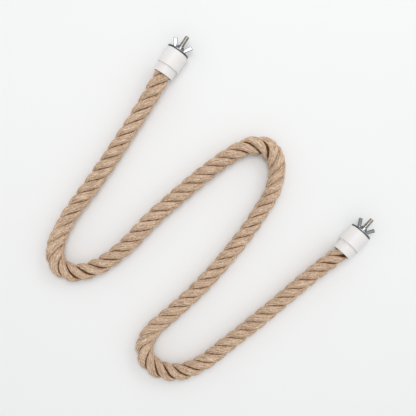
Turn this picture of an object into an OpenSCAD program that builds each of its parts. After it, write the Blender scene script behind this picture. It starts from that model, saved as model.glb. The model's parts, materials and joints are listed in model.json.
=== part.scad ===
// Bendable rope perch for a bird cage, laid out flat in a zigzag.
// A three-strand rope with a wire in its middle ends in a plastic sleeve and cap,
// and each cap holds a bolt whose two wide washers and wing nut clamp a cage's bars.

/* [Rope] */
// Diameter of the rope
rope_d = 21; // [16:0.5:24]
// Number of flats round the rope, with one of them on the surface
rope_sides = 12; // [8:4:12]
// Diameter of the wire that holds the rope's bends
wire_d = 3; // [1.6:0.1:4]
// Room left round the wire by the strands
wire_clear = 0.3; // [0.2:0.05:0.6]

/* [Sleeve] */
// Wall of the sleeve that grips the rope's end
sleeve_wall = 1.5; // [1:0.1:3]
// Gap between the rope and the sleeve's bore
rope_clear = 0.13; // [0.05:0.01:0.3]
// Length of the first end's sleeve that shows outside its cap
sleeve_show_1 = 11; // [6:0.5:20]
// Length of the second end's sleeve that shows outside its cap
sleeve_show_2 = 13; // [6:0.5:20]
// Rounding of the sleeve's mouth
sleeve_round = 0.5; // [0.2:0.1:0.7]

/* [Cap] */
// Wall of the cap round its mouth
cap_wall = 2.2; // [1.6:0.1:4]
// How much the cap's diameter narrows towards its closed end
cap_taper = 1; // [0:0.1:2]
// Thickness of the cap's closed end
cap_end_t = 2.6; // [2:0.1:5]
// Rounding round the cap's closed end
cap_end_round = 3; // [1:0.1:4]
// Rounding of the cap's mouth
cap_lip_round = 0.7; // [0.3:0.1:1]
// Depth of the socket that the sleeve is pressed into
socket_depth = 13; // [8:0.5:20]
// Gap between the sleeve and its socket
socket_clear = 0.05; // [0.02:0.01:0.2]
// Room between the bolt's head and the rope's end
head_gap = 1.4; // [0.5:0.1:4]

/* [Bolt] */
// Diameter of the bolt's shank, over its thread
bolt_d = 6; // [5:0.5:6.5]
// Length of the bolt below its head
bolt_l = 25; // [20:0.5:60]
// Width of the hexagon head across its flats
head_flats = 10; // [9:0.5:13]
// Height of the head
head_h = 4; // [3:0.1:6]
// Chamfer at the bolt's tip
tip_chamfer = 0.6; // [0.2:0.1:1]
// Gap between the bolt and the holes that it passes through
bolt_clear = 0.25; // [0.15:0.05:0.4]

/* [Washers] */
// Outer diameter of the two washers that clamp the cage's bars
washer_d = 28; // [20:0.5:34]
// Thickness of each of these washers
washer_t = 0.9; // [0.6:0.1:2]
// Outer diameter of the washer under the bolt's head
head_washer_d = 12; // [11:0.5:15]
// Thickness of the washer under the bolt's head
head_washer_t = 1; // [0.6:0.1:2]

/* [Wing nut] */
// Span over both wings
wing_span = 27.4; // [24:0.2:28]
// Height of the wings' highest corners over the nut's seat
wing_h = 12.5; // [10:0.1:14]
// Thickness of a wing at its root
wing_root_t = 2.6; // [2:0.1:3]
// Thickness of a wing at its tip
wing_tip_t = 1.9; // [1:0.1:2]
// Rounding of the wings' corners
wing_round = 0.7; // [0.3:0.1:1]
// Height of the nut's hub
hub_h = 6; // [5:0.1:8]
// Wall of the hub round the bolt, at its seat
hub_base_wall = 2.8; // [2:0.1:4]
// Wall of the hub round the bolt, at its top
hub_top_wall = 1.1; // [0.8:0.1:1.8]
// Height of the hub's straight foot
hub_foot_h = 1.4; // [0.8:0.1:3]
// Gap between the nut and the bolt's thread
thread_clear = 0.05; // [0.02:0.01:0.1]
// Turn of the nut round its bolt, where 0 lays the wings level
wing_turn = 0; // [0:5:180]

/* [Hidden] */
round_fn = 72;
overrun = 0.5;

// Where the rope enters each sleeve, the way the end points round the vertical, and its sleeve
end_1 = [-60.5, 164.5];
end_2 = [160, -52.5];
end_1_turn = 56.5;
end_2_turn = 47.5;

// The rope's axis between the sleeves: x, y, and the share of its climb from the surface
// to the caps' axis. The climb is 0 where the rope lies and 1 at a sleeve.
route = [
    [-78.5, 135, 0.55], [-104, 94.5, 0], [-127, 59.5, 0], [-150.5, 27, 0], [-172, -2.5, 0],
    [-184.5, -24, 0], [-190.5, -40, 0], [-191.5, -52, 0], [-189, -62, 0], [-182.5, -69, 0],
    [-173, -73, 0], [-159.5, -73.5, 0], [-139.5, -68, 0], [-112, -48, 0], [-59.5, 3, 0],
    [-3, 51, 0], [23.5, 69.5, 0], [40, 77.5, 0], [52, 79, 0], [62.5, 77, 0],
    [71, 71, 0], [78, 58.5, 0], [77, 31.5, 0], [57, -5.5, 0], [23.5, -49.5, 0],
    [-15, -94.5, 0], [-53.5, -127.5, 0], [-72, -144.5, 0], [-80.5, -159, 0], [-82.5, -172.5, 0],
    [-78, -185, 0], [-66, -196, 0], [-45.5, -200.5, 0], [-17, -191, 0], [20.5, -166, 0],
    [74.5, -121.5, 0], [128.5, -77.5, 0.6]
];
// Rings swept between two of the route's points
ring_steps = 2;

rope_r = rope_d / 2 / cos(180 / rope_sides);
bore_r = (wire_d / 2 + wire_clear) / cos(180 / rope_sides);

// The sleeve goes round the rope, and the cap round the sleeve. Its chamber for the bolt's
// head is as wide as the sleeve's bore, so the step between them stops the sleeve
sleeve_bore_r = rope_r + rope_clear;
sleeve_r = sleeve_bore_r + sleeve_wall;
socket_r = sleeve_r + socket_clear;
cap_r = socket_r + cap_wall;
cap_end_r = cap_r - cap_taper / 2;
cap_l = socket_depth + head_gap + head_h + head_washer_t + cap_end_t;
rope_in_1 = sleeve_show_1 + socket_depth;
rope_in_2 = sleeve_show_2 + socket_depth;

// The caps lie on the surface, and so does the rope's lowest flat
axis_z = cap_r;
rope_rest_z = rope_d / 2;

bolt_r = bolt_d / 2;
hole_r = bolt_r + bolt_clear;
nut_bore_r = bolt_r + thread_clear;
hub_base_r = bolt_r + hub_base_wall;
hub_top_r = bolt_r + hub_top_wall;

// One open turn of the thread, level with the top of the nut's hub, parts the free length
// of the stud from the length that the nut holds
groove_w = 0.7;
groove_d = 0.25;

// Heights over the cap's outer face, along the bolt
head_seat = -cap_end_t - head_washer_t;
nut_seat = 2 * washer_t;

// The right wing's outline, as shares of half the span and of the wings' height:
// foot, outer root, outer tip, inner tip, inner root and the notch beside the hub
wing_shares = [
    [0.20, 0.04], [0.53, 0.04], [0.66, 0.27], [1.00, 0.815],
    [0.705, 1.00], [0.435, 0.50], [0.385, 0.27], [0.20, 0.27]
];
// The corners of that outline that are rounded, by their place in it
wing_corners = [3, 4];
corner_steps = 4;

function unit(v) = v / norm(v);
function heading(turn) = [cos(turn), sin(turn), 0];
function mouth(at) = [at[0], at[1], axis_z];

// The route's points in space, run on straight to the rope's end inside each sleeve
rope_path = concat(
    [mouth(end_1) + rope_in_1 * heading(end_1_turn), mouth(end_1)],
    [for (p = route) [p[0], p[1], rope_rest_z + p[2] * (axis_z - rope_rest_z)]],
    [mouth(end_2), mouth(end_2) + rope_in_2 * heading(end_2_turn)]
);

// Slope of the smooth curve at a point: the chords on its two sides, each weighed by the other's length
function slope(p, i) =
    i == 0 ? unit(p[1] - p[0]) :
    i == len(p) - 1 ? unit(p[i] - p[i - 1]) :
    let(a = p[i] - p[i - 1], b = p[i + 1] - p[i])
    (a / norm(a) * norm(b) + b / norm(b) * norm(a)) / (norm(a) + norm(b));

// A point of the curve at t, from 0 to 1, between the points i and i + 1
function between(p, i, t) =
    let(h = norm(p[i + 1] - p[i]))
    (2 * t * t * t - 3 * t * t + 1) * p[i] + (t * t * t - 2 * t * t + t) * h * slope(p, i)
    + (3 * t * t - 2 * t * t * t) * p[i + 1] + (t * t * t - t * t) * h * slope(p, i + 1);

// The whole curve, kept from dipping below the height at which the rope lies
function smooth(p, steps) = concat(
    [for (i = [0 : len(p) - 2]) for (k = [0 : steps - 1])
        let(q = between(p, i, k / steps)) [q[0], q[1], max(q[2], rope_rest_z)]],
    [p[len(p) - 1]]
);

// A ring of points round a curve's point, square to the curve and with a flat at its bottom
function ring(c, i, r, sides) =
    let(
        ahead = unit(c[min(i + 1, len(c) - 1)] - c[max(i - 1, 0)]),
        across = unit(cross(ahead, [0, 0, 1])),
        above = cross(across, ahead)
    )
    [for (k = [0 : sides - 1])
        let(a = 360 * (k + 0.5) / sides - 90) c[i] + r * (cos(a) * across + sin(a) * above)];

function rings(c, r, sides) = [for (i = [0 : len(c) - 1]) each ring(c, i, r, sides)];

// The two triangles between the places k and k + 1 of two rings that start at points a and b
function patch(a, b, k, sides) =
    let(m = (k + 1) % sides)
    [[a + k, b + k, b + m], [a + k, b + m, a + m]];

// A skin of rings from the point first on
function skin(first, count, sides) =
    [for (i = [0 : count - 2]) for (k = [0 : sides - 1])
        each patch(first + i * sides, first + (i + 1) * sides, k, sides)];

function turned(faces) = [for (f = faces) [f[2], f[1], f[0]]];

// A band that joins the ring at point a to the ring at point b
function band(a, b, sides) = [for (k = [0 : sides - 1]) each patch(a, b, k, sides)];

// A round cord swept along a curve
module solid_sweep(c, r, sides) {
    count = len(c);
    last = (count - 1) * sides;
    ends = concat(
        [for (k = [1 : sides - 2]) [0, k, k + 1]],
        [for (k = [1 : sides - 2]) [last, last + k + 1, last + k]]
    );
    polyhedron(points = rings(c, r, sides), faces = concat(skin(0, count, sides), ends));
}

// The same with a round hole of radius inner along its middle
module hollow_sweep(c, r, inner, sides) {
    count = len(c);
    total = count * sides;
    last = total - sides;
    polyhedron(
        points = concat(rings(c, r, sides), rings(c, inner, sides)),
        faces = concat(
            skin(0, count, sides),
            turned(skin(total, count, sides)),
            band(total, 0, sides),
            band(last, total + last, sides)
        )
    );
}

// Puts a piece on an end: its +Z runs out along the bolt, from the face of the cap
module on_end(number) {
    at = number == 1 ? end_1 : end_2;
    turn = number == 1 ? end_1_turn : end_2_turn;
    show = number == 1 ? sleeve_show_1 : sleeve_show_2;
    translate(mouth(at) + (show + cap_l) * heading(turn))
    rotate([0, 90, turn])
    children();
}

module tube(outer, inner, h) {
    difference() {
        cylinder(r = outer, h = h, $fn = round_fn);
        translate([0, 0, -overrun]) cylinder(r = inner, h = h + 2 * overrun, $fn = round_fn);
    }
}

module rope() {
    color([0.74, 0.60, 0.46])
    hollow_sweep(smooth(rope_path, ring_steps), rope_r, bore_r, rope_sides);
}

module core_wire() {
    color([0.55, 0.56, 0.58])
    solid_sweep(smooth(rope_path, ring_steps), wire_d / 2, rope_sides);
}

// The sleeve: a length of pipe with a rounded mouth where the rope goes in
module sleeve(show) {
    arc = [for (k = [0 : corner_steps]) 90 * k / corner_steps];
    lip = min(sleeve_round, sleeve_wall / 3);
    color([0.92, 0.91, 0.89])
    translate([0, 0, -cap_l - show])
    rotate_extrude($fn = round_fn)
    polygon(concat(
        [for (a = arc) [sleeve_bore_r + lip - lip * cos(a), lip - lip * sin(a)]],
        [for (a = arc) [sleeve_r - lip + lip * sin(a), lip - lip * cos(a)]],
        [[sleeve_r, show + socket_depth], [sleeve_bore_r, show + socket_depth]]
    ));
}

// The cap: a tapered cup with a socket for the sleeve, a step that stops it, a chamber for
// the bolt's head, and the bolt's hole in its closed end
module cap() {
    arc = [for (k = [0 : 2 * corner_steps]) 90 * k / (2 * corner_steps)];
    lip = cap_lip_round;
    color([0.93, 0.92, 0.90])
    rotate_extrude($fn = round_fn)
    polygon(concat(
        [[socket_r, -cap_l]],
        [for (a = arc) [cap_r - lip + lip * sin(a), -cap_l + lip - lip * cos(a)]],
        [for (a = arc) [
            cap_end_r - cap_end_round + cap_end_round * cos(a),
            -cap_end_round + cap_end_round * sin(a)
        ]],
        [
            [hole_r, 0], [hole_r, -cap_end_t],
            [sleeve_bore_r, -cap_end_t], [sleeve_bore_r, socket_depth - cap_l],
            [socket_r, socket_depth - cap_l]
        ]
    ));
}

// The bolt: a hexagon head with chamfered corners, inside the cap, and a round shank
module bolt() {
    corner_r = head_flats / 2 / cos(30);
    color([0.72, 0.73, 0.74])
    translate([0, 0, head_seat]) {
        intersection() {
            translate([0, 0, -head_h]) cylinder(r = corner_r, h = head_h, $fn = 6);
            translate([0, 0, -head_h]) cylinder(
                r1 = head_flats / 2 * cos(15), r2 = head_flats / 2 * cos(15) + 2 * head_h, h = head_h,
                $fn = round_fn
            );
        }
        rotate_extrude($fn = round_fn)
        polygon([
            [0, -head_h / 2],
            [bolt_r, -head_h / 2],
            [bolt_r, nut_seat - head_seat + hub_h - groove_w],
            [bolt_r - groove_d, nut_seat - head_seat + hub_h - groove_w],
            [bolt_r - groove_d, nut_seat - head_seat + hub_h],
            [bolt_r, nut_seat - head_seat + hub_h],
            [bolt_r, bolt_l - tip_chamfer],
            [bolt_r - tip_chamfer, bolt_l],
            [0, bolt_l]
        ]);
    }
}

module washer(outer_d, t) {
    color([0.70, 0.71, 0.72])
    tube(outer_d / 2, hole_r, t);
}

// A wing's outline in the plane of the bolt, with its outer corners rounded
function wing_point(i) = [
    wing_shares[i][0] * wing_span / 2,
    wing_shares[i][1] * wing_h
];

function rounded(before, at, after, r) =
    let(
        u = unit(before - at),
        v = unit(after - at),
        half = acos(u * v) / 2,
        centre = at + unit(u + v) * r / sin(half),
        start = atan2((at + u * r / tan(half) - centre)[1], (at + u * r / tan(half) - centre)[0])
    )
    [for (k = [0 : corner_steps])
        let(a = start + (180 - 2 * half) * k / corner_steps) centre + r * [cos(a), sin(a)]];

function wing_outline() =
    let(n = len(wing_shares))
    [for (i = [0 : n - 1])
        each len(search(i, wing_corners)) > 0
            ? rounded(wing_point((i + n - 1) % n), wing_point(i), wing_point((i + 1) % n), wing_round)
            : [wing_point(i)]];

// A wing: the outline made solid, then thinned from its root to its tip
module wing() {
    root_x = wing_shares[0][0] * wing_span / 2;
    intersection() {
        translate([0, wing_root_t / 2, 0]) rotate([90, 0, 0])
        linear_extrude(height = wing_root_t) polygon(wing_outline());
        translate([0, 0, -overrun]) linear_extrude(height = wing_h + 2 * overrun)
        polygon([
            [root_x - overrun, -wing_root_t / 2], [wing_span / 2 + overrun, -wing_tip_t / 2],
            [wing_span / 2 + overrun, wing_tip_t / 2], [root_x - overrun, wing_root_t / 2]
        ]);
    }
}

// The wing nut: a hub that narrows from a straight foot, and two splayed wings
module wing_nut() {
    edge = (hub_top_r - nut_bore_r) / 2;
    color([0.74, 0.75, 0.76])
    translate([0, 0, nut_seat])
    rotate([0, 0, 90 + wing_turn])
    difference() {
        union() {
            rotate_extrude($fn = round_fn)
            polygon([
                [0, 0], [hub_base_r, 0], [hub_base_r, hub_foot_h],
                [hub_top_r, hub_h - edge], [hub_top_r - edge, hub_h], [0, hub_h]
            ]);
            wing();
            mirror([1, 0, 0]) wing();
        }
        translate([0, 0, -overrun]) cylinder(r = nut_bore_r, h = wing_h, $fn = round_fn);
    }
}

module head_washer() {
    translate([0, 0, head_seat]) washer(head_washer_d, head_washer_t);
}

module cap_washer() {
    washer(washer_d, washer_t);
}

module nut_washer() {
    translate([0, 0, washer_t]) washer(washer_d, washer_t);
}

rope();
core_wire();
on_end(1) sleeve(sleeve_show_1);  // sleeve_1
on_end(1) cap();  // cap_1
on_end(1) bolt();  // bolt_1
on_end(1) head_washer();  // head_washer_1
on_end(1) cap_washer();  // cap_washer_1
on_end(1) nut_washer();  // nut_washer_1
on_end(1) wing_nut();  // wing_nut_1
on_end(2) sleeve(sleeve_show_2);  // sleeve_2
on_end(2) cap();  // cap_2
on_end(2) bolt();  // bolt_2
on_end(2) head_washer();  // head_washer_2
on_end(2) cap_washer();  // cap_washer_2
on_end(2) nut_washer();  // nut_washer_2
on_end(2) wing_nut();  // wing_nut_2
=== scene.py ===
"""The looks of a bendable rope bird perch: laid rope, moulded caps, threaded studs and wing nuts."""

import json
import math

import bmesh
import bpy
import numpy as np
from mathutils import Matrix, Vector


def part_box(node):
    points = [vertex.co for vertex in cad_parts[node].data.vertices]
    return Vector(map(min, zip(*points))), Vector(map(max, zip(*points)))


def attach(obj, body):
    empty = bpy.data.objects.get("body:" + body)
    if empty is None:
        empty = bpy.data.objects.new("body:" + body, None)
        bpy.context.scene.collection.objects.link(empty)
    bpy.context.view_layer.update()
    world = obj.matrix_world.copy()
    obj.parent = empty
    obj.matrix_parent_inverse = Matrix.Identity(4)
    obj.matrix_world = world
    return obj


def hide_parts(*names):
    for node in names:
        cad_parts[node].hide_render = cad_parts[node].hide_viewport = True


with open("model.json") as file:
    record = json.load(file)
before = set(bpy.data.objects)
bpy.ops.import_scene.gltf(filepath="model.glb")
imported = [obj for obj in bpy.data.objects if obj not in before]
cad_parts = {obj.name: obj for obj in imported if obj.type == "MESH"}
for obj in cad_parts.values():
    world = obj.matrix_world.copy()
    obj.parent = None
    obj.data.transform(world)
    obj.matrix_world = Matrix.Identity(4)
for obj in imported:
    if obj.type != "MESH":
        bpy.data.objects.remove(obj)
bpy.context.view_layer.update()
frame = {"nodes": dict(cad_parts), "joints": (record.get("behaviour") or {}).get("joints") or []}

MM = 0.001
TURN = 2 * math.pi

# How deep each cap's socket is and how much of each sleeve shows beyond it, in millimetres; the
# rope runs on inside for both
SOCKET_DEEP = 13
SHOWN = {1: 11, 2: 13}
ROPE_IN_1, ROPE_IN_2 = SHOWN[1] + SOCKET_DEEP, SHOWN[2] + SOCKET_DEEP

# The rope's route, as in the CAD source, in millimetres: where it enters each sleeve, the way
# each end points, and its points between them (x, y and the share of the climb to the caps' axis)
END_1, END_1_TURN = (-60.5, 164.5), 56.5
END_2, END_2_TURN = (160, -52.5), 47.5
ROUTE = [
    (-78.5, 135, 0.55), (-104, 94.5, 0), (-127, 59.5, 0), (-150.5, 27, 0), (-172, -2.5, 0),
    (-184.5, -24, 0), (-190.5, -40, 0), (-191.5, -52, 0), (-189, -62, 0), (-182.5, -69, 0),
    (-173, -73, 0), (-159.5, -73.5, 0), (-139.5, -68, 0), (-112, -48, 0), (-59.5, 3, 0),
    (-3, 51, 0), (23.5, 69.5, 0), (40, 77.5, 0), (52, 79, 0), (62.5, 77, 0),
    (71, 71, 0), (78, 58.5, 0), (77, 31.5, 0), (57, -5.5, 0), (23.5, -49.5, 0),
    (-15, -94.5, 0), (-53.5, -127.5, 0), (-72, -144.5, 0), (-80.5, -159, 0), (-82.5, -172.5, 0),
    (-78, -185, 0), (-66, -196, 0), (-45.5, -200.5, 0), (-17, -191, 0), (20.5, -166, 0),
    (74.5, -121.5, 0), (128.5, -77.5, 0.6),
]
ROPE_D = 21
REST_Z = ROPE_D / 2
AXIS_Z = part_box("cap_1")[1].z / 2 / MM

# Each strand has this many yarns round it, drawn with this many points each, this wide
STRANDS, YARNS, YARN_POINTS, YARN_W = 3, 16, 3, 2.25

# Where grooves cross the top of the rope: millimetres along it, and the groove's number
GROOVE_MARKS = [
    (39, 0), (125, 5), (208, 10), (293, 15), (378, 20), (465, 25), (550, 30), (567, 31),
    (586, 32), (605, 33), (620, 34), (646, 36), (709, 40), (792, 45), (875, 50), (905, 52),
    (941, 54), (989, 57), (1039, 60), (1118, 65), (1202, 70), (1216.5, 71),
]

# How the real rope differs from an even one: millimetres along it, how far it leans to the
# right of its route, and its girth
ROPE_FIT = [
    (0, 0, 0.96), (24, -0.2, 0.965), (60, -0.5, 0.97), (120, 0.4, 0.965), (165, 0.1, 1.02),
    (195, -0.5, 1.015), (225, 0.1, 0.97), (260, -0.3, 0.96), (290, 0.2, 0.99), (312, 1.7, 0.99),
    (345, -1.3, 0.99), (375, 0.4, 1.0), (420, -1.3, 1.02), (450, -0.4, 1.01), (480, 0.3, 1.03),
    (555, 0.6, 0.98), (600, -0.6, 1.0), (645, 0.5, 0.96), (690, 0.4, 0.95), (750, -0.8, 0.955),
    (805, 0.7, 0.95), (860, -1.7, 0.965), (885, -0.8, 0.98), (920, 2.0, 0.99), (960, -0.2, 1.05),
    (990, 1.3, 0.96), (1035, -1.1, 0.955), (1065, -0.9, 0.94), (1110, 0.6, 0.93), (1150, -0.6, 0.94),
    (1190, -1.3, 0.965), (1205, -1.7, 0.98), (1222, -0.4, 0.94), (1248, 0, 0.94),
]
# Where strands bulge on the outside of the bends: millimetres along the rope, reach and height
BULGES = [(294, 28, 2.4), (603, 22, 4.1), (918, 26, 1.7)]
# Where the strands gape: millimetres along the rope, reach, amount, and how much more than that
# on the outside of the bend, or less where it is negative
GAPES = [
    (322, 30, 0.125, 0.4), (580, 9, 0.10, 0), (603, 8, 0.30, -0.8), (957, 32, 0.125, 0.4),
    (1202, 6, 0.1, 0), (1221, 4, 0.45, 0),
]
# Where the strands spread and close the grooves between them, in the same way
CLOSURES = [(262, 26, 0.16, 0.6), (619, 14, 0.19, 0.9), (646, 16, 0.10, 0.6), (896, 16, 0.14, 0.6)]


def unit(v):
    return v / np.linalg.norm(v, axis=-1, keepdims=True)


def random_waves(at, seed, length):
    """A smooth random curve of about -1 to 1 whose waves are roughly that long."""
    rng = np.random.default_rng(seed)
    count = 5
    total = np.zeros(np.shape(at))
    for _ in range(count):
        total += np.sin(TURN * at / (length * rng.uniform(0.6, 1.7)) + rng.uniform(0, TURN))
    return total / math.sqrt(count * 1.5)


def blurred(values, sigma):
    """Rows of values, smoothed along the first axis, with the ends held."""
    reach = int(4 * sigma) + 1
    kernel = np.exp(-0.5 * (np.arange(-reach, reach + 1) / sigma) ** 2)
    kernel /= kernel.sum()
    before, after = np.repeat(values[:1], reach, 0), np.repeat(values[-1:], reach, 0)
    padded = np.concatenate([before, values, after])
    return np.stack([np.convolve(column, kernel, "valid") for column in padded.T], axis=1)


# The camera: it looks almost straight down, at the photograph's angle


def add_camera():
    look_at = Vector((-5.6, 3.6, 10.5)) * MM
    place = Vector((-41.1, 39.1, 728.7)) * MM
    data = bpy.data.cameras.new("camera")
    data.lens, data.sensor_width = 50.66, 36
    data.clip_start, data.clip_end = 0.01, 20
    camera = bpy.data.objects.new("camera", data)
    bpy.context.scene.collection.objects.link(camera)
    back = (place - look_at).normalized()
    right = Vector((0, 1, 0)).cross(back).normalized()
    turned = Matrix((right, back.cross(right), back)).transposed().to_4x4()
    camera.matrix_world = Matrix.Translation(place) @ turned
    bpy.context.scene.camera = camera


add_camera()


# Materials

SPAN_SLOTS = ("From Min", "From Max", "To Min", "To Max")


class Shader:
    """A new node material, and short ways to add and join its nodes.

    Its settings are the surface's slots by name, in small letters with underscores.
    """

    def __init__(self, name, **settings):
        self.material = bpy.data.materials.new(name)
        self.material.use_nodes = True
        self.tree = self.material.node_tree
        self.surface = self.tree.nodes["Principled BSDF"]
        for key, value in settings.items():
            slot = key.replace("_", " ").title().replace("Ior", "IOR")
            self.surface.inputs[slot].default_value = value

    def add(self, kind, **settings):
        node = self.tree.nodes.new(kind)
        for key, value in settings.items():
            setattr(node, key, value)
        return node

    def join(self, source, target):
        self.tree.links.new(source, target)

    def feed(self, value, slot):
        """Gives a slot a number, a colour or another node's output."""
        if isinstance(value, tuple):
            slot.default_value = (*value, 1)
        elif isinstance(value, (int, float)):
            slot.default_value = value
        else:
            self.join(value, slot)

    def scaled(self, source, scale):
        node = self.add("ShaderNodeVectorMath", operation="MULTIPLY")
        self.join(source, node.inputs[0])
        node.inputs[1].default_value = scale
        return node.outputs[0]

    def split(self, source):
        node = self.add("ShaderNodeSeparateXYZ")
        self.join(source, node.inputs[0])
        return node.outputs

    def combined(self, *parts):
        node = self.add("ShaderNodeCombineXYZ")
        for value, slot in zip(parts, node.inputs):
            self.feed(value, slot)
        return node.outputs[0]

    def noise(self, source, scale, detail=2.0, roughness=0.5):
        node = self.add("ShaderNodeTexNoise")
        node.inputs["Scale"].default_value = scale
        node.inputs["Detail"].default_value = detail
        node.inputs["Roughness"].default_value = roughness
        self.join(source, node.inputs["Vector"])
        return node.outputs["Fac"]

    def span(self, source, low, high, to_low=0.0, to_high=1.0):
        node = self.add("ShaderNodeMapRange")
        for slot, value in zip(SPAN_SLOTS, (low, high, to_low, to_high)):
            node.inputs[slot].default_value = value
        self.join(source, node.inputs["Value"])
        return node.outputs["Result"]

    def math(self, operation, a, b):
        node = self.add("ShaderNodeMath", operation=operation)
        for value, slot in zip((a, b), node.inputs):
            self.feed(value, slot)
        return node.outputs[0]

    def mix(self, factor, a, b):
        """A mix of two colours, which are the node's inputs 6 and 7 and its output 2."""
        node = self.add("ShaderNodeMix", data_type="RGBA")
        for value, slot in ((factor, 0), (a, 6), (b, 7)):
            self.feed(value, node.inputs[slot])
        return node.outputs[2]

    def bump(self, height, distance, strength, under=None):
        node = self.add("ShaderNodeBump")
        node.inputs["Strength"].default_value = strength
        node.inputs["Distance"].default_value = distance
        self.join(height, node.inputs["Height"])
        if under is not None:
            self.join(under, node.inputs["Normal"])
        return node.outputs["Normal"]

    def set(self, slot, source):
        self.join(source, self.surface.inputs[slot])


def object_place(shader):
    return shader.add("ShaderNodeTexCoord").outputs["Object"]


# How far, in millimetres, the tones of a patch run on along single fibres
FEATHER = 6
# How far a yarn's fibres slant across it, for each millimetre along it
FIBRE_SLANT = 0.35


def rope_material():
    """Jute: slanting fibres in each yarn, yarns of slightly different tan, and grooves painted dark
    as shade.
    """
    shader = Shader(
        "jute_rope_groove_shade", roughness=0.95, specular_ior_level=0.12, sheen_weight=0.3, sheen_roughness=0.5
    )
    shader.surface.inputs["Sheen Tint"].default_value = (1.0, 0.82, 0.62, 1)
    fibre = shader.add("ShaderNodeAttribute", attribute_name="fibre").outputs["Vector"]
    groove_shade = shader.add("ShaderNodeAttribute", attribute_name="groove_shade").outputs["Fac"]
    x, y, along = shader.split(fibre)
    phase = shader.math("MULTIPLY", shader.math("ARCTAN2", y, x), YARNS / TURN)
    yarn = shader.math("FLOOR", phase, 0)
    over = shader.math("MULTIPLY", shader.math("SUBTRACT", phase, yarn), YARN_W * MM)
    slant = shader.math("SUBTRACT", over, shader.math("MULTIPLY", along, FIBRE_SLANT))
    own = shader.combined(shader.math("MULTIPLY", yarn, 3.7), along, 0)
    hairs = shader.combined(
        shader.math("MULTIPLY", yarn, 0.37), slant, shader.math("MULTIPLY", along, 0.22)
    )
    hair = shader.noise(shader.scaled(fibre, (1, 1, 0.05)), 3400, 1)
    feather = shader.math("MULTIPLY", shader.math("SUBTRACT", hair, 0.5), FEATHER * MM)
    feathered = shader.combined(x, y, shader.math("ADD", along, feather))
    tone = shader.noise(own, 38, 2, 0.6)
    streak = shader.noise(shader.scaled(feathered, (1, 1, 0.13)), 740, 2, 0.6)
    grain = shader.noise(shader.scaled(feathered, (1, 1, 0.6)), 900, 2, 0.6)
    fine = shader.noise(hairs, 2600, 2, 0.6)
    patches = shader.noise(object_place(shader), 70, 2)
    hue = shader.noise(shader.scaled(fibre, (1, 1, 0.5)), 90, 1)
    tan = shader.mix(shader.span(tone, 0.3, 0.7), (0.510, 0.320, 0.197), (0.640, 0.436, 0.286))
    # Each further colour: what it follows, where it begins and is complete, its share, the colour
    for value, begin, complete, share, colour in (
        (patches, 0.3, 0.7, 0.35, (0.68, 0.505, 0.36)),
        (hue, 0.50, 0.70, 0.35, (0.62, 0.40, 0.30)),
        (hue, 0.50, 0.30, 0.35, (0.60, 0.47, 0.29)),
        (streak, 0.49, 0.63, 0.80, (0.30, 0.180, 0.105)),
        (streak, 0.50, 0.35, 0.85, (0.90, 0.70, 0.53)),
        (grain, 0.50, 0.65, 0.75, (0.28, 0.165, 0.095)),
        (grain, 0.50, 0.35, 0.80, (0.92, 0.73, 0.56)),
        (fine, 0.50, 0.72, 0.50, (0.30, 0.180, 0.105)),
        (fine, 0.50, 0.30, 0.40, (0.86, 0.69, 0.53)),
        # The last colour is painted shade, darkest deep in the grooves between the strands
        (groove_shade, 0.75, 0.95, 1.00, (0.16, 0.054, 0.009)),
    ):
        tan = shader.mix(shader.span(value, begin, complete, 0, share), tan, colour)
    shader.set("Base Color", tan)
    relief = shader.bump(fine, 0.00030, 0.8)
    shader.set("Normal", shader.bump(streak, 0.0011, 0.8, relief))
    return shader.material


def fuzz_material():
    shader = Shader("jute_fibre", roughness=0.85, specular_ior_level=0.3, sheen_weight=0.2)
    tone = shader.span(shader.noise(object_place(shader), 900, 1), 0.35, 0.65)
    shader.set("Base Color", shader.mix(tone, (0.66, 0.50, 0.36), (0.86, 0.72, 0.57)))
    return shader.material


def plastic_material(name, low, high):
    """Moulded off-white plastic: a faint unevenness in tone and gloss, and a slight orange peel."""
    shader = Shader(name, roughness=0.45, ior=1.49, coat_weight=0.08, coat_roughness=0.3)
    place = object_place(shader)
    shader.set("Base Color", shader.mix(shader.noise(place, 60, 3), low, high))
    shader.set("Roughness", shader.span(shader.noise(place, 340, 3), 0.3, 0.7, 0.40, 0.52))
    peel = shader.bump(shader.noise(place, 900, 2), 0.00003, 0.5)
    shader.set("Normal", shader.bump(shader.noise(place, 120, 1), 0.0002, 0.25, peel))
    return shader.material


# How much rougher zinc is where a mesh's edge attribute marks it
EDGE_ROUGHER = 0.2


def metal_material(name, low, high, rough_low, rough_high, grain=500, edge=None):
    """Zinc-plated steel: a cloudy grey with fine pits, and a darker tone, painted shade and
    reflection, where its mesh marks it.
    """
    shader = Shader(name, metallic=1.0)
    place = object_place(shader)
    cloud = shader.noise(place, grain * 0.5, 4, 0.6)
    tone = shader.mix(shader.span(cloud, 0.3, 0.7), low, high)
    rough = shader.span(shader.noise(place, grain, 3), 0.3, 0.7, rough_low, rough_high)
    if edge is not None:
        # Where the mesh's edge attribute marks it, the tone is painted shade and dark reflection
        painted_edge_shade = shader.add("ShaderNodeAttribute", attribute_name="edge").outputs["Fac"]
        tone = shader.mix(painted_edge_shade, tone, edge)
        rough = shader.math("ADD", rough, shader.math("MULTIPLY", painted_edge_shade, EDGE_ROUGHER))
    shader.set("Base Color", tone)
    shader.set("Roughness", rough)
    shader.set("Normal", shader.bump(shader.noise(place, grain * 4, 2), 0.00002, 0.35))
    return shader.material


# Meshes


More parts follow.
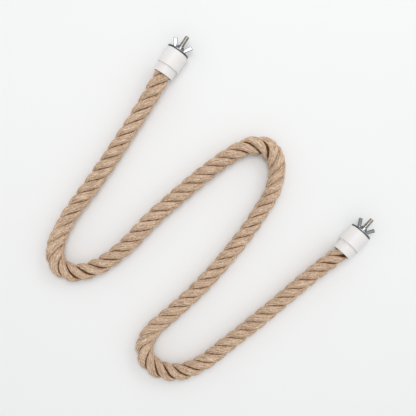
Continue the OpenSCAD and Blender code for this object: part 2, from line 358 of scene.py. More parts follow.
def add_mesh(name, points, faces, material):
    """A new object of those points, in metres, with smooth shading."""
    mesh = bpy.data.meshes.new(name)
    points, faces = np.asarray(points, float), np.asarray(faces)
    mesh.vertices.add(len(points))
    mesh.vertices.foreach_set("co", points.ravel())
    corners = faces.shape[1]
    mesh.loops.add(faces.size)
    mesh.loops.foreach_set("vertex_index", faces.ravel().astype(np.int32))
    mesh.polygons.add(len(faces))
    mesh.polygons.foreach_set("loop_start", np.arange(0, faces.size, corners, dtype=np.int32))
    mesh.update(calc_edges=True)
    mesh.validate()
    mesh.shade_smooth()
    if material is not None:
        mesh.materials.append(material)
    obj = bpy.data.objects.new(name, mesh)
    bpy.context.scene.collection.objects.link(obj)
    return obj


def grid_faces(rows, columns, wrap_rows=False):
    """Quads between the points of a grid whose point (row, column) is row * columns + column.

    The last column always joins the first, and the last row only where that is asked for.
    """
    i = np.arange(rows if wrap_rows else rows - 1)
    j = np.arange(columns)
    i, j = (a.ravel() for a in np.meshgrid(i, j, indexing="ij"))
    i2, j2 = (i + 1) % rows, (j + 1) % columns
    return np.stack([i * columns + j, i * columns + j2, i2 * columns + j2, i2 * columns + j], axis=1)


def add_vectors(mesh, name, values):
    attribute = mesh.attributes.new(name, "FLOAT_VECTOR", "POINT")
    attribute.data.foreach_set("vector", np.asarray(values, np.float32).ravel())


def add_values(mesh, name, values):
    attribute = mesh.attributes.new(name, "FLOAT", "POINT")
    attribute.data.foreach_set("value", np.asarray(values, np.float32).ravel())


def close_ends(mesh):
    """Fills the open ends of a mesh and turns its faces outward."""
    work = bmesh.new()
    work.from_mesh(mesh)
    bmesh.ops.holes_fill(work, edges=[e for e in work.edges if e.is_boundary], sides=0)
    bmesh.ops.recalc_face_normals(work, faces=work.faces)
    work.to_mesh(mesh)
    work.free()
    mesh.shade_smooth()


def paint(mesh, material):
    mesh.materials.clear()
    mesh.materials.append(material)


# The rope's centreline


def mouth(at):
    """The point over that x and y at the height of the caps' axis."""
    return np.array([at[0], at[1], AXIS_Z], float)


def heading(turn):
    """The level direction that many degrees round from +X."""
    return np.array([math.cos(math.radians(turn)), math.sin(math.radians(turn)), 0])


def route_points():
    lying = [(x, y, REST_Z + share * (AXIS_Z - REST_Z)) for x, y, share in ROUTE]
    start, end = mouth(END_1), mouth(END_2)
    inside_1 = start + ROPE_IN_1 * heading(END_1_TURN)
    inside_2 = end + ROPE_IN_2 * heading(END_2_TURN)
    return np.array([inside_1, start, *lying, end, inside_2])


def smooth_curve(p, step):
    """The CAD source's curve through the points p, at even steps along it."""
    per_chord = 80
    chords = np.diff(p, axis=0)
    size = np.linalg.norm(chords, axis=1)
    slopes = np.empty_like(p)
    slopes[0], slopes[-1] = chords[0] / size[0], chords[-1] / size[-1]
    a, b, la, lb = chords[:-1], chords[1:], size[:-1, None], size[1:, None]
    slopes[1:-1] = (a / la * lb + b / lb * la) / (la + lb)
    t = np.linspace(0, 1, per_chord, endpoint=False)[:, None]
    parts = [
        (2 * t**3 - 3 * t**2 + 1) * p[i] + (t**3 - 2 * t**2 + t) * size[i] * slopes[i]
        + (3 * t**2 - 2 * t**3) * p[i + 1] + (t**3 - t**2) * size[i] * slopes[i + 1]
        for i in range(len(p) - 1)
    ]
    fine = np.concatenate([*parts, p[-1:]])
    fine[:, 2] = np.maximum(fine[:, 2], REST_Z)
    along = np.concatenate([[0], np.cumsum(np.linalg.norm(np.diff(fine, axis=0), axis=1))])
    s = np.linspace(0, along[-1], int(round(along[-1] / step)) + 1)
    return s, np.stack([np.interp(s, along, fine[:, k]) for k in range(3)], axis=1)


# The rope is made of rings this many millimetres apart, and these smoothings are in rings
RING_GAP = 1.81
CURVE_SMOOTH, BEND_SMOOTH, FIT_SMOOTH, LAY_SMOOTH = 1.8, 4, 6, 5

s_along, centre = smooth_curve(route_points(), RING_GAP)
rope_length = s_along[-1]
centre = np.concatenate([centre[:3], blurred(centre, CURVE_SMOOTH)[3:-3], centre[-3:]])
ahead = unit(np.gradient(centre, s_along, axis=0))
across = unit(np.cross(ahead, (0, 0, 1)))
above = np.cross(across, ahead)
bend = blurred(np.gradient(ahead, s_along, axis=0), BEND_SMOOTH)
outward = np.arctan2(-(bend * above).sum(1), -(bend * across).sum(1))
fit_at, fit_lean, fit_girth = np.array(ROPE_FIT, float).T
girth = blurred(np.interp(s_along, fit_at, fit_girth)[:, None], FIT_SMOOTH)[:, 0]
lean = blurred(np.interp(s_along, fit_at, fit_lean)[:, None], FIT_SMOOTH)


# The rope: three strands, each with sixteen yarns round it, laid right-handed

PER_RING = YARNS * YARN_POINTS
# Half of one strand's share of the turn round the rope's axis
SIDE = math.radians(180 / STRANDS)
# In millimetres: how far a strand's middle is from the rope's axis, half its height and half its
# width, how near the axis it comes, and the power that makes its section a little square
STRAND_OUT, STRAND_DEEP, STRAND_WIDE, CORE_R = 5.35, 5.15, 6.0, 1.7
STRAND_SQUARE = 0.85
# Half the slit between two strands: SLIT_LEAST near the rope's axis, and SLIT more from SLIT_FOOT
# outward, over SLIT_RISE; SLIT_SOFT rounds the place where a strand's side meets it
SLIT, SLIT_LEAST, SLIT_FOOT, SLIT_RISE, SLIT_SOFT = 0.19, 0.02, 4.2, 3, 0.22
# What a gape takes off a strand's width, as a share, and what it adds to the slit
GAPE_THINS, GAPE_OPENS = 0.55, 3.6
# How uneven the strands' sizes, the yarns' heights and the slits are, and how long those waves are
STRAND_UNEVEN, YARN_UNEVEN, SLIT_UNEVEN = 0.018, 0.07, 0.7
STRAND_WAVE, YARN_WAVE, SLIT_WAVE = 60, 45, 26
# How deep the valley between two yarns is, and how far the yarns turn round their strand, in
# radians for each millimetre along it
YARN_VALLEY, YARN_TURN = 0.30, 0.06
# The radius that no strand goes past, but for the bulges, and how softly it flattens there
OUTER_R, OUTER_SOFT = 11.5, 0.8
# How deep below the rope's surface the painted shade in a groove is full
SHADE_FULL_DEEP = 4
# The fibres' own coordinates: their distance from the strand's middle, their length for each
# millimetre of rope, and how far apart two strands' are, so that no strand repeats another
FIBRE_R, FIBRE_LONGER, FIBRE_APART = 5.7, 1.2, 2000
# How far above the floor all of the rope stays
LOWEST = 0.02


def lay_angle():
    """The angle of the first strand round the rope's axis, at each ring."""
    at, count = np.array(GROOVE_MARKS, float).T
    first = (count[1] - count[0]) / (at[1] - at[0])
    last = (count[-1] - count[-2]) / (at[-1] - at[-2])
    at = np.concatenate([[0], at, [rope_length]])
    count = np.concatenate([
        [count[0] - (at[1] - at[0]) * first], count, [count[-1] + (at[-1] - at[-2]) * last]
    ])
    grooves = blurred(np.interp(s_along, at, count)[:, None], LAY_SMOOTH)[:, 0]
    # A strand's groove is SIDE past its middle, and it is on top of the rope at its mark
    return math.radians(90) - SIDE - TURN / STRANDS * grooves


def soft_limit(value, limit, soft):
    """The smaller of the two, with the corner between them rounded."""
    gap = value - limit
    return limit + 0.5 * (gap - np.sqrt(gap**2 + soft**2)) + 0.5 * soft * np.exp(-np.abs(gap) / soft)


def hump(at, reach):
    return np.exp(-((s_along - at) / reach) ** 2)


def spots(table, angle):
    """The sum of the table's smooth humps at that angle round the rope, at each ring."""
    return sum(
        amount * hump(at, reach) * (1 + outside * np.cos(angle - outward))
        for at, reach, amount, outside in table
    )


def bulge(angle):
    """How far the strands stand out at that angle, in millimetres: only on the outside of bends."""
    height = sum(high * hump(at, reach) for at, reach, high in BULGES)
    return height[:, None] * np.maximum(np.cos(angle - outward[:, None]), 0) ** 1.5


def squared(wave):
    """A sine or cosine bent towards a square wave, which flattens a round section a little."""
    return np.sign(wave) * np.abs(wave) ** STRAND_SQUARE


def yarn_relief(number):
    """How far the points of each yarn stand out from their strand, at each ring."""
    yarn, point = np.divmod(np.arange(PER_RING), YARN_POINTS)
    seeds = range(100 + 20 * number, 100 + 20 * number + YARNS)
    proud = np.stack([random_waves(s_along, seed, YARN_WAVE) for seed in seeds], axis=1)
    return YARN_UNEVEN * proud[:, yarn] - YARN_VALLEY * (point == 0)


def half_slit(number, on_left, gape, out):
    """How far a strand's points keep from its neighbours', that far out from the rope's axis."""
    left, right = (
        SLIT * (1 + SLIT_UNEVEN * random_waves(s_along, seed, SLIT_WAVE))[:, None]
        for seed in (60 + 2 * number, 61 + 2 * number)
    )
    slit = np.where(on_left, left, right) + GAPE_OPENS * gape
    return SLIT_LEAST + slit * np.clip((out - SLIT_FOOT) / SLIT_RISE, 0, 1)


def strand(number, lay):
    """The rings of one strand: points, fibre coordinates and painted groove shade, from how deep each
    point lies.
    """
    theta = lay + TURN * number / STRANDS
    around = TURN * np.arange(PER_RING) / PER_RING
    psi = around[None, :] + YARN_TURN * s_along[:, None]
    on_left = np.sin(psi) > 0
    gape, closed = (
        np.where(on_left, spots(table, theta + SIDE)[:, None], spots(table, theta - SIDE)[:, None])
        for table in (GAPES, CLOSURES)
    )
    # The strand's section, x out from the rope's axis and y across, cut off by its neighbours
    size = 1 + STRAND_UNEVEN * random_waves(s_along, 40 + number, STRAND_WAVE)[:, None]
    relief = yarn_relief(number)
    wide = STRAND_WIDE * size * (1 - GAPE_THINS * gape + closed) + relief
    x = STRAND_OUT * size + (STRAND_DEEP * size + relief) * squared(np.cos(psi))
    y = wide * squared(np.sin(psi))
    x = np.maximum(x, CORE_R)
    edge = x * math.sin(SIDE) - half_slit(number, on_left, gape, np.hypot(x, y))
    y = np.sign(y) * soft_limit(np.abs(y), edge / math.cos(SIDE), SLIT_SOFT)
    # The same points in the rope's own section, a to its right and b up, swollen at the bends
    cos, sin = np.cos(theta)[:, None], np.sin(theta)[:, None]
    a, b = x * cos - y * sin, x * sin + y * cos
    out = np.hypot(a, b)
    flat = soft_limit(out, OUTER_R, OUTER_SOFT) / out
    bulged = bulge(np.arctan2(b, a)) * np.clip(out / REST_Z, 0, 1) / np.maximum(out, 1)
    swell = girth[:, None] * (flat + bulged)
    a, b = a * swell + lean, b * swell
    points = centre[:, None] + a[..., None] * across[:, None] + b[..., None] * above[:, None]
    # The painted shade in a groove is darker where the strands gape and paler where they close
    shade_gain = np.clip(1 + 1.2 * gape - 0.3 * closed, 0, 1.4)
    painted_shade = np.clip((REST_Z - out) / SHADE_FULL_DEEP, 0, 1) * shade_gain
    fibre = np.stack([
        FIBRE_R * np.cos(around)[None, :] + 0 * a,
        FIBRE_R * np.sin(around)[None, :] + 0 * a,
        s_along[:, None] * FIBRE_LONGER + FIBRE_APART * number + 0 * a,
    ], axis=2)
    return points, fibre, painted_shade


def add_rope():
    """The strands as one mesh, with the fibre coordinates and the painted groove shade that its
    material reads.
    """
    lay = lay_angle()
    points, fibres, painted_shades, faces = [], [], [], []
    rings = len(s_along)
    for number in range(STRANDS):
        p, fibre, painted_shade = strand(number, lay)
        points.append(p.reshape(-1, 3))
        fibres.append(fibre.reshape(-1, 3))
        painted_shades.append(painted_shade.ravel())
        faces.append(grid_faces(rings, PER_RING) + number * rings * PER_RING)
    points = np.concatenate(points)
    points[:, 2] = np.maximum(points[:, 2], LOWEST)
    rope = add_mesh("laid_rope", points * MM, np.concatenate(faces), rope_material())
    add_vectors(rope.data, "fibre", np.concatenate(fibres) * MM)
    add_values(rope.data, "groove_shade", np.concatenate(painted_shades))
    close_ends(rope.data)
    return rope


rope = add_rope()
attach(rope, "perch")
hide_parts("rope")


# Fine fibres that stand off the rope

FUZZ_COUNT = 6200
FUZZ_RINGS, FUZZ_SIDES = 5, 3
# In millimetres: how far from the sleeves, from the rope's axis and above the floor a fibre
# starts, how deep its root is in the rope, and how far above the floor all of it stays
FUZZ_CLEAR, FUZZ_OUT, FUZZ_UP, FUZZ_ROOT, FUZZ_LOWEST = 3, 8.6, 1.5, 0.15, 0.12


def fuzz_roots(rope, rng):
    """Random vertices where fibres can start: their rings, places and normals."""
    count = len(rope.data.vertices)
    place, normal = np.empty(count * 3), np.empty(count * 3)
    rope.data.vertices.foreach_get("co", place)
    rope.data.vertices.foreach_get("normal", normal)
    place, normal = place.reshape(-1, 3) / MM, normal.reshape(-1, 3)
    ring = np.arange(count) // PER_RING % len(s_along)
    off_axis = np.linalg.norm(place - centre[ring], axis=1)
    first, last = ROPE_IN_1 + FUZZ_CLEAR, rope_length - ROPE_IN_2 - FUZZ_CLEAR
    shown = (s_along[ring] > first) & (s_along[ring] < last)
    free = shown & (off_axis > FUZZ_OUT) & (place[:, 2] > FUZZ_UP)
    roots = rng.choice(np.flatnonzero(free), FUZZ_COUNT)
    return ring[roots], place[roots], normal[roots]


def add_fuzz(rope):
    """Thin curved fibres, each a tube that tapers, from random places on the rope."""
    rng = np.random.default_rng(7)
    ring, place, normal = fuzz_roots(rope, rng)
    each = (FUZZ_COUNT, 1)
    length = rng.uniform(1.0, 3.8, each) * rng.uniform(0.6, 1.3, each)
    along = ahead[ring] * rng.choice([-1, 1], each)
    side = np.cross(along, normal)
    sideways, lift = rng.normal(size=each), rng.uniform(0.15, 0.7, each)
    start = unit(along + 0.55 * sideways * side + lift * normal)
    curl = normal * rng.uniform(-0.25, 0.35, each) + side * rng.normal(0, 0.3, each)
    t = np.linspace(0, 1, FUZZ_RINGS)[None, :, None]
    course = start[:, None] * t + curl[:, None] * t**2
    line = (place - FUZZ_ROOT * normal)[:, None] + length[:, None] * course
    line[..., 2] = np.maximum(line[..., 2], FUZZ_LOWEST)
    thick = rng.uniform(0.030, 0.052, each) * (1 - 0.6 * t[..., 0])
    turn = TURN * np.arange(FUZZ_SIDES) / FUZZ_SIDES
    u = unit(np.cross(start, normal + 0.01))
    v = np.cross(start, u)
    rim = np.cos(turn)[None, :, None] * u[:, None] + np.sin(turn)[None, :, None] * v[:, None]
    points = line[:, :, None] + thick[:, :, None, None] * rim[:, None]
    one = grid_faces(FUZZ_RINGS, FUZZ_SIDES)
    per_fibre = FUZZ_RINGS * FUZZ_SIDES
    faces = (one[None] + per_fibre * np.arange(FUZZ_COUNT)[:, None, None]).reshape(-1, 4)
    fuzz = add_mesh("rope_fuzz", points.reshape(-1, 3) * MM, faces, fuzz_material())
    close_ends(fuzz.data)
    return fuzz


fuzz = add_fuzz(rope)
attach(fuzz, "perch")


# The ends. Each piece is made in its end's own frame, in millimetres: +Z runs out along the
# bolt from the face of the cap, and +Y is level


def end_frame(number):
    """The matrix from that end's own frame to the scene's."""
    joint = next(j for j in frame["joints"] if j["name"] == f"nut_{number}_spin")
    z = Vector(joint["axis"]).normalized()
    x = Vector((0, 0, -1))
    turned = Matrix((x, z.cross(x), z)).transposed().to_4x4()
    return Matrix.Translation(joint["pos_m"]) @ turned @ Matrix.Scale(MM, 4)


def filleted(points, steps=5):
    """An outline of (r, z, fillet) corners with each corner rounded by its fillet."""
    corners = np.array([(r, z) for r, z, _ in points], float)
    outline = []
    for i, (_, _, fillet) in enumerate(points):
        at = corners[i]
        if fillet == 0:
            outline.append(at)
            continue
        u, v = unit(corners[i - 1] - at), unit(corners[(i + 1) % len(points)] - at)
        half = math.acos(np.clip(u @ v, -1, 1)) / 2
        middle = at + unit(u + v) * fillet / math.sin(half)
        a, b = at + u * fillet / math.tan(half) - middle, at + v * fillet / math.tan(half) - middle
        for t in np.linspace(0, 1, steps):
            outline.append(middle + fillet * unit((1 - t) * a + t * b))
    return np.array(outline)


# Points round a turned piece, and the angle in degrees past which its edges are sharp
TURNED_SIDES, TURNED_SHARP = 128, 40


def turned_piece(name, outline, number, material):
    """A closed outline in r and z, turned round the bolt's axis, with sharp edges past an angle."""
    turn = TURN * np.arange(TURNED_SIDES) / TURNED_SIDES
    r, z = outline[:, 0, None], outline[:, 1, None]
    points = np.stack([r * np.cos(turn), r * np.sin(turn), z + 0 * turn], axis=2).reshape(-1, 3)
    faces = grid_faces(len(outline), TURNED_SIDES, wrap_rows=True)
    obj = add_mesh(name, points, faces, material)
    obj.data.transform(end_frame(number))
    close_ends(obj.data)
    obj.data.set_sharp_from_angle(angle=math.radians(TURNED_SHARP))
    return obj


def dress(obj, node, body="perch"):
    """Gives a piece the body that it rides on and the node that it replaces."""
    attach(obj, body)
    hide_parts(node)


# The ends' sizes, as in the CAD source
SLEEVE_BORE_R, SLEEVE_WALL, SOCKET_CLEAR, CAP_WALL, CAP_TAPER = 11, 1.5, 0.05, 2.2, 1
SLEEVE_R = SLEEVE_BORE_R + SLEEVE_WALL
SOCKET_R = SLEEVE_R + SOCKET_CLEAR
CAP_R = SOCKET_R + CAP_WALL
CAP_END_R = CAP_R - CAP_TAPER / 2
CAP_L, CAP_END_T = 22, 2.6
BOLT_R, BOLT_CLEAR, THREAD_CLEAR = 3, 0.25, 0.05
HOLE_R = BOLT_R + BOLT_CLEAR
WASHER_R, WASHER_T, HEAD_WASHER_T = 14, 0.9, 1
# How far the washers' faces and the nut's foot keep off each other's level faces
PLAY = 0.015


def add_sleeve(number, material):
    start = -CAP_L - SHOWN[number]
    stop = -CAP_L + SOCKET_DEEP
    outline = filleted([
        (SLEEVE_BORE_R, start, 0.5), (SLEEVE_R, start, 0.45),
        (SLEEVE_R, stop, 0.2), (SLEEVE_BORE_R, stop, 0.2),
    ])
    sleeve = turned_piece(f"sleeve_pipe_{number}", outline, number, material)
    dress(sleeve, f"sleeve_{number}")


def add_cap(number, material):
    step = -CAP_L + SOCKET_DEEP
    outline = filleted([
        (SOCKET_R, -CAP_L, 0.35), (CAP_R, -CAP_L, 0.7), (CAP_END_R, 0, 2.6), (HOLE_R, 0, 0.2),
        (HOLE_R, -CAP_END_T, 0.2), (SLEEVE_BORE_R, -CAP_END_T, 0.5),
        (SLEEVE_BORE_R, step, 0.2), (SOCKET_R, step, 0.2),
    ], 8)
    cap = turned_piece(f"cap_shell_{number}", outline, number, material)
    dress(cap, f"cap_{number}")


def add_washer(side, number, foot, rim_shade, body, material):
    """The washer on the cap's or the nut's side, from that height up, with its rim marked for a
    painted dark shade.
    """
    low, high = foot + PLAY, foot + WASHER_T - PLAY
    outline = filleted([
        (HOLE_R, low, 0.12), (WASHER_R, low, 0.12), (WASHER_R, high, 0.3), (HOLE_R, high, 0.2)
    ])
    washer = turned_piece(f"{side}_side_washer_{number}", outline, number, material)
    rim = np.repeat(outline[:, 0] > WASHER_R - 0.3, TURNED_SIDES)
    # The rim is marked for painted shade and dark reflection, at the strength given
    add_values(washer.data, "edge", rim_shade * rim)
    dress(washer, f"{side}_washer_{number}", body)


# The bolt: a hexagon head, hidden in the cap, and a right-handed M6 thread

PITCH, MAJOR_R, MINOR_R = 1.0, BOLT_R - 0.02, BOLT_R - 0.5
BOLT_L, HEAD_H, HEAD_FLATS, TIP_CHAMFER = 25, 4, 10, 0.6
HEAD_SEAT = -CAP_END_T - HEAD_WASHER_T
# The head's end face is rounded to this share of its flats
HEAD_ROUND = 0.966
# The shares of the thread's height that its flat valley and its flank take
VALLEY_SHARE, FLANK_SHARE = 0.22, 0.48
# Points round the bolt, and rings of them for each turn of its thread
BOLT_SIDES, THREAD_STEPS = 48, 10


def thread_radius(z, turn):
    """The threaded shank's radius, z from the head's seat and at those turns round it."""
    height = 1 - 2 * np.abs((z / PITCH - turn / TURN) % 1 - 0.5)
    ridge = np.clip((height - VALLEY_SHARE) / FLANK_SHARE, 0, 1)
    radius = MINOR_R + (MAJOR_R - MINOR_R) * ridge * ridge * (3 - 2 * ridge)
    return np.minimum(radius, MAJOR_R - max(z - BOLT_L + TIP_CHAMFER, 0))


def add_bolt(number, material):
    """The bolt, with its thread's valleys marked for painted shade."""
    turn = TURN * np.arange(BOLT_SIDES) / BOLT_SIDES
    half = HEAD_FLATS / 2
    hexagon = half / np.cos((turn + TURN / 12) % (TURN / 6) - TURN / 12)
    rings = [
        (HEAD_SEAT - HEAD_H + rise, np.minimum(hexagon, half * HEAD_ROUND + 2 * rise))
        for rise in (0, 0.15, 0.3, 0.5)
    ]
    rings += [
        (HEAD_SEAT - 0.05, hexagon), (HEAD_SEAT, hexagon - 0.05),
        (HEAD_SEAT, MAJOR_R + 0.3 + 0 * turn),
    ]
    rings += [
        (z + HEAD_SEAT, thread_radius(z, turn))
        for z in np.linspace(0.1, BOLT_L, int(BOLT_L * THREAD_STEPS / PITCH))
    ]
    z = np.array([ring[0] for ring in rings])[:, None] + 0 * turn
    r = np.array([ring[1] for ring in rings])
    points = np.stack([r * np.cos(turn), r * np.sin(turn), z], axis=2).reshape(-1, 3)
    bolt = add_mesh(f"threaded_bolt_{number}", points, grid_faces(len(rings), BOLT_SIDES), material)
    # The thread's valleys are marked to be painted darker, as the shade in them
    add_values(bolt.data, "edge", np.clip((MAJOR_R - 0.1 - r.ravel()) / 0.35, 0, 1))
    bolt.data.transform(end_frame(number))
    close_ends(bolt.data)
    bolt.data.set_sharp_from_angle(angle=math.radians(50))
    dress(bolt, f"bolt_{number}")


# The wing nut: hub and wings are melted together, smoothed as a casting is, and then bored

WING_SPAN, WING_H = 27.4, 12.5
WING_ROOT_T, WING_TIP_T = 2.6, 1.9
HUB_BASE_R, HUB_TOP_R, HUB_H, HUB_FOOT_H = BOLT_R + 2.8, BOLT_R + 1.1, 6, 1.4
NUT_SEAT, NUT_BORE_R, BORE_CHAMFER = 2 * WASHER_T + PLAY, BOLT_R + THREAD_CLEAR, 0.4
# The outline of one wing: x as a share of half the span, z of the wings' height, and the fillet
WING_SHARES = [
    (0.20, 0.04, 0), (0.53, 0.04, 0), (0.66, 0.27, 1.5), (1.00, 0.815, 0.7),
    (0.705, 1.00, 0.7), (0.435, 0.50, 0.8), (0.385, 0.27, 0.5), (0.20, 0.27, 0),
]
# Points round the hub and round the bore, and how the shells are melted together and smoothed
HUB_SIDES, BORE_SIDES = 64, 96
NUT_VOXEL, NUT_SETTLES = 0.2, 18
# The wings' flats are painted darker along their rim, as shade and reflection, fading out between 0.6
# and 1.6 times this width
WING_SHADE_RIM = 0.7


def wing_outline():
    """The outline of the wing on the +x side, in x and z."""
    return filleted([(x * WING_SPAN / 2, z * WING_H, fillet) for x, z, fillet in WING_SHARES], 7)


def wing_shell(side):
    """The front and back outlines of one wing, which thins from its root to its tip."""
    outline = wing_outline()
    share = outline[:, 0] / (WING_SPAN / 2)
    half = (WING_ROOT_T + (WING_TIP_T - WING_ROOT_T) * share) / 2
    front = np.stack([side * outline[:, 0], -half, outline[:, 1]], axis=1)
    back = np.stack([side * outline[:, 0], half, outline[:, 1]], axis=1)
    return front, back


def nut_blank():
    """Hub and wings as closed shells in one mesh, in millimetres, before they are melted together."""
    work = bmesh.new()
    hub = filleted([
        (0, 0, 0), (HUB_BASE_R, 0, 0.3), (HUB_BASE_R, HUB_FOOT_H, 0.5),
        (HUB_TOP_R, HUB_H, 0.5), (0, HUB_H, 0),
    ])
    turn = TURN * np.arange(HUB_SIDES) / HUB_SIDES
    rings = [
        [work.verts.new((r * math.cos(a), r * math.sin(a), z)) for a in turn]
        for r, z in hub[1:-1]
    ]
    for low, high in zip(rings, rings[1:]):
        for k in range(len(turn)):
            m = (k + 1) % len(turn)
            work.faces.new((low[k], low[m], high[m], high[k]))
    work.faces.new(list(reversed(rings[0])))
    work.faces.new(rings[-1])
    for side in (1, -1):
        front, back = ([work.verts.new(p) for p in shell] for shell in wing_shell(side))
        work.faces.new(front)
        work.faces.new(list(reversed(back)))
        for k in range(len(front)):
            m = (k + 1) % len(front)
            work.faces.new((front[m], front[k], back[k], back[m]))
    bmesh.ops.recalc_face_normals(work, faces=work.faces)
    mesh = bpy.data.meshes.new("nut_blank")
    work.to_mesh(mesh)
    work.free()
    return mesh


def bore_tool():
    """A plug that cuts the nut's hole and the chamfers at both ends of it."""
    over = 1
    mouth_r = NUT_BORE_R + BORE_CHAMFER + over
    profile = [
        (mouth_r, -over), (NUT_BORE_R, BORE_CHAMFER),
        (NUT_BORE_R, HUB_H - BORE_CHAMFER), (mouth_r, HUB_H + over),
    ]
    turn = TURN * np.arange(BORE_SIDES) / BORE_SIDES
    rings = [
        np.stack([r * np.cos(turn), r * np.sin(turn), z + 0 * turn], axis=1) for r, z in profile
    ]
    faces = grid_faces(len(profile), len(turn))
    tool = add_mesh("bore_tool", np.concatenate(rings), faces, None)
    close_ends(tool.data)
    return tool


def nut_mesh():
    """The wing nut in millimetres, with its foot at z = 0 and its wings along x."""
    blank = bpy.data.objects.new("nut_blank", nut_blank())
    bpy.context.scene.collection.objects.link(blank)
    melt = blank.modifiers.new("melt", "REMESH")
    melt.mode, melt.voxel_size = "VOXEL", NUT_VOXEL
    settle = blank.modifiers.new("settle", "SMOOTH")
    settle.factor, settle.iterations = 0.5, NUT_SETTLES
    tool = bore_tool()
    cut = blank.modifiers.new("bore", "BOOLEAN")
    cut.operation, cut.solver, cut.object = "DIFFERENCE", "EXACT", tool
    evaluated = blank.evaluated_get(bpy.context.evaluated_depsgraph_get())
    mesh = bpy.data.meshes.new_from_object(evaluated)
    mesh.name = "wing_nut"
    for obj in (blank, tool):
        bpy.data.objects.remove(obj)
    return mesh


def paint_wing_edge_shade(mesh):
    """Marks the wings' side walls and the narrow rim of their flats for a painted dark shade and
    reflection.
    """
    place = np.empty(len(mesh.vertices) * 3)
    mesh.vertices.foreach_get("co", place)
    x, y, z = place.reshape(-1, 3).T
    on_wing = np.hypot(x, y) > HUB_BASE_R
    flat = np.stack([np.abs(x), z], axis=1)
    corners = wing_outline()
    nearest = np.full(len(x), 99.0)
    for p, q in zip(corners, np.roll(corners, -1, axis=0)):
        share = np.clip((flat - p) @ (q - p) / ((q - p) @ (q - p)), 0, 1)[:, None]
        nearest = np.minimum(nearest, np.linalg.norm(flat - p - share * (q - p), axis=1))
    add_values(mesh, "edge", on_wing * np.clip(1.6 - nearest / WING_SHADE_RIM, 0, 1))


def add_wing_nut(number, mesh, material):
    mesh = mesh.copy()
    paint(mesh, material)
    paint_wing_edge_shade(mesh)
    seat = end_frame(number) @ Matrix.Translation((0, 0, NUT_SEAT))
    mesh.transform(seat @ Matrix.Rotation(math.radians(90), 4, "Z"))
    mesh.shade_smooth()
    mesh.set_sharp_from_angle(angle=math.radians(45))
    nut = bpy.data.objects.new(f"winged_nut_{number}", mesh)
    bpy.context.scene.collection.objects.link(nut)
    dress(nut, f"wing_nut_{number}", f"clamp_nut_{number}")


cap_plastic = plastic_material("cap_plastic", (0.785, 0.765, 0.75), (0.825, 0.805, 0.79))
sleeve_plastic = plastic_material("sleeve_plastic", (0.78, 0.76, 0.74), (0.82, 0.80, 0.78))
# The metals' last colours are painted shade and dark reflection, where a mesh marks its rims, thread
# valleys or wing edges
washer_zinc = metal_material(
    "washer_zinc", (0.40, 0.41, 0.42), (0.52, 0.53, 0.54), 0.28, 0.42, edge=(0.10, 0.095, 0.085)
)
bolt_zinc = metal_material(
    "bolt_zinc", (0.70, 0.66, 0.59), (0.86, 0.825, 0.75), 0.14, 0.24, 700, (0.18, 0.165, 0.14)
)
nut_zinc_edge_shade = metal_material(
    "wing_nut_zinc", (0.33, 0.345, 0.36), (0.44, 0.455, 0.47), 0.16, 0.26, 400, (0.13, 0.135, 0.14)
)
core_steel = metal_material("core_steel", (0.40, 0.41, 0.43), (0.55, 0.56, 0.58), 0.35, 0.50)

wing_nut = nut_mesh()
for end in (1, 2):
    add_sleeve(end, sleeve_plastic)
    add_cap(end, cap_plastic)
    add_bolt(end, bolt_zinc)
    add_washer("cap", end, 0, 0.85, "perch", washer_zinc)
    add_washer("nut", end, WASHER_T, 0.15, f"clamp_washer_{end}", washer_zinc)
    add_wing_nut(end, wing_nut, nut_zinc_edge_shade)

# The pieces that nothing shows from outside keep their CAD solids
paint(frame["nodes"]["core_wire"].data, core_steel)
for end in (1, 2):
    paint(frame["nodes"][f"head_washer_{end}"].data, washer_zinc)


# The stage: a pale floor, an even sky, dark walls that only reflections see, and four softboxes

# The floor's radius and height in metres
FLOOR_R, FLOOR_Z = 30.0, -0.0001


def add_floor():
    turn = TURN * np.arange(96) / 96
    corners = np.stack([FLOOR_R * np.cos(turn), FLOOR_R * np.sin(turn), FLOOR_Z + 0 * turn], axis=1)
    shader = Shader("pale_paper", roughness=0.75, specular_ior_level=0.2)
    tone = shader.noise(object_place(shader), 3, 2)
    shader.set("Base Color", shader.mix(tone, (0.843, 0.847, 0.850), (0.873, 0.877, 0.880)))
    floor = add_mesh("floor", corners, [range(len(turn))], shader.material)


# How much darker than the sky the studio's walls are, as reflections see them, and the heights
# (the sine of the elevation) between which they give way to the sky
WALL_DARK = 0.85
WALL_TOP = (0.35, 0.55)


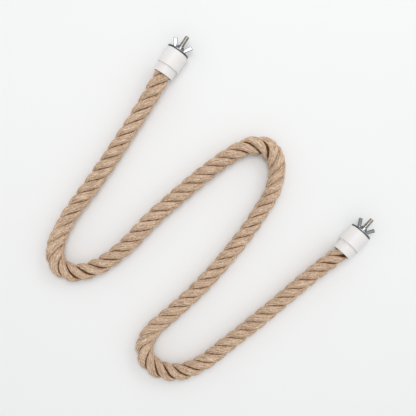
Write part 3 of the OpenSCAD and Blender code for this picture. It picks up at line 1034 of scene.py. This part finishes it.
def add_sky():
    """A nearly even grey, a little dimmer near the horizon, with dark walls in reflections only."""
    world = bpy.data.worlds.new("sky")
    world.use_nodes = True
    bpy.context.scene.world = world
    add, join = world.node_tree.nodes.new, world.node_tree.links.new
    background = world.node_tree.nodes["Background"]
    height = add("ShaderNodeSeparateXYZ")
    join(add("ShaderNodeTexCoord").outputs["Generated"], height.inputs[0])
    ramp = add("ShaderNodeValToRGB")
    join(height.outputs["Z"], ramp.inputs["Fac"])
    stops = [(0.0, 0.63), (0.25, 0.68), (0.5, 0.70), (1.0, 0.69)]
    elements = ramp.color_ramp.elements
    for place, tone in stops[2:]:
        elements.new(place)
    for element, (place, tone) in zip(elements, stops):
        element.position = place
        element.color = (tone, tone, tone, 1)
    join(ramp.outputs["Color"], background.inputs["Color"])
    wall = add("ShaderNodeMapRange")
    join(height.outputs["Z"], wall.inputs["Value"])
    for slot, value in zip(SPAN_SLOTS, (*WALL_TOP, WALL_DARK, 0.0)):
        wall.inputs[slot].default_value = value
    shade, strength = add("ShaderNodeMath"), add("ShaderNodeMath")
    shade.operation, strength.operation = "MULTIPLY", "SUBTRACT"
    join(wall.outputs["Result"], shade.inputs[0])
    join(add("ShaderNodeLightPath").outputs["Is Glossy Ray"], shade.inputs[1])
    strength.inputs[0].default_value = 1.0
    join(shade.outputs[0], strength.inputs[1])
    join(strength.outputs[0], background.inputs["Strength"])


# Name, place in metres, width and height, and power of each softbox
LAMPS = [
    ("key", (-1.7, 1.3, 1.9), (2.4, 2.1), 2.0),
    ("overhead", (-0.05, 0.5, 1.6), (0.8, 0.7), 7.9),
    ("fill", (1.8, 0.0, 1.4), (2.0, 1.4), 3.0),
    ("glint", (1.4, 1.36, 1.64), (1.5, 0.6), 7.0),
]


def add_lamps():
    """Softboxes that all face the middle of the perch."""
    for name, place, size, power in LAMPS:
        data = bpy.data.lights.new(name, "AREA")
        data.shape, data.energy = "RECTANGLE", power
        data.size, data.size_y = size
        lamp = bpy.data.objects.new(name, data)
        bpy.context.scene.collection.objects.link(lamp)
        facing = Vector(place).to_track_quat("Z", "Y").to_matrix().to_4x4()
        lamp.matrix_world = Matrix.Translation(place) @ facing


add_floor()
add_sky()
add_lamps()
bpy.context.scene.view_settings.view_transform = "Standard"
